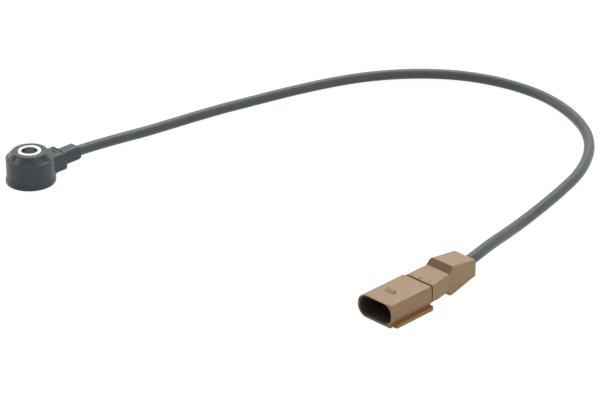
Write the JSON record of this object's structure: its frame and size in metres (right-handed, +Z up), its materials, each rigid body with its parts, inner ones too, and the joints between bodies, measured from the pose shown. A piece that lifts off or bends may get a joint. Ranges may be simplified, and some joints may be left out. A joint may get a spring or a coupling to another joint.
{
  "type": "engine knock sensor",
  "caption": "Ring-shaped piezo vibration sensor with a through bolt sleeve, a moulded neck, a free shielded lead and a three-pin plug.",
  "frame": {"origin": "centre of the bolt bore on the seat, the flat lower face of the steel sleeve", "axes": "+Z up the bore, away from the seat; +X out along the neck, the way the lead leaves the head"},
  "size_m": [0.2827, 0.2533, 0.018],
  "materials": {
    "head_plastic": "fine moulded, slightly satin",
    "sleeve_steel": "turned and plated",
    "insulation": "plain film",
    "contact_brass": "stamped sheet",
    "piezo_ceramic": "ground faces",
    "mass_steel": "turned",
    "core_red": "extruded",
    "core_black": "extruded",
    "core_grey": "extruded",
    "cable_jacket": "smooth extruded",
    "plug_plastic": "fine moulded",
    "cap_plastic": "fine moulded",
    "lock_plastic": "fine moulded",
    "terminal_metal": "tin plated",
    "seal_rubber": "smooth"
  },
  "bodies": {
    "root": {"sensor_housing": "head_plastic", "pressure_sleeve": "sleeve_steel", "insulating_tube": "insulation", "lower_insulator": "insulation", "lower_contact": "contact_brass", "piezo_ring": "piezo_ceramic", "upper_contact": "contact_brass", "upper_insulator": "insulation", "seismic_mass": "mass_steel", "disc_spring": "mass_steel", "lock_ring": "mass_steel", "signal_wire": "core_red", "return_wire": "core_black", "cable": "cable_jacket", "plug_shell": "plug_plastic", "terminal_carrier": "plug_plastic", "terminal_lock": "lock_plastic", "blade_terminal_1": "terminal_metal", "blade_terminal_2": "terminal_metal", "blade_terminal_3": "terminal_metal", "wire_seal_1": "seal_rubber", "wire_seal_2": "seal_rubber", "wire_seal_3": "seal_rubber", "plug_wire_1": "core_red", "plug_wire_2": "core_grey", "plug_wire_3": "core_black", "cable_seal": "seal_rubber", "rear_cap": "cap_plastic"}
  },
  "joints": []
}
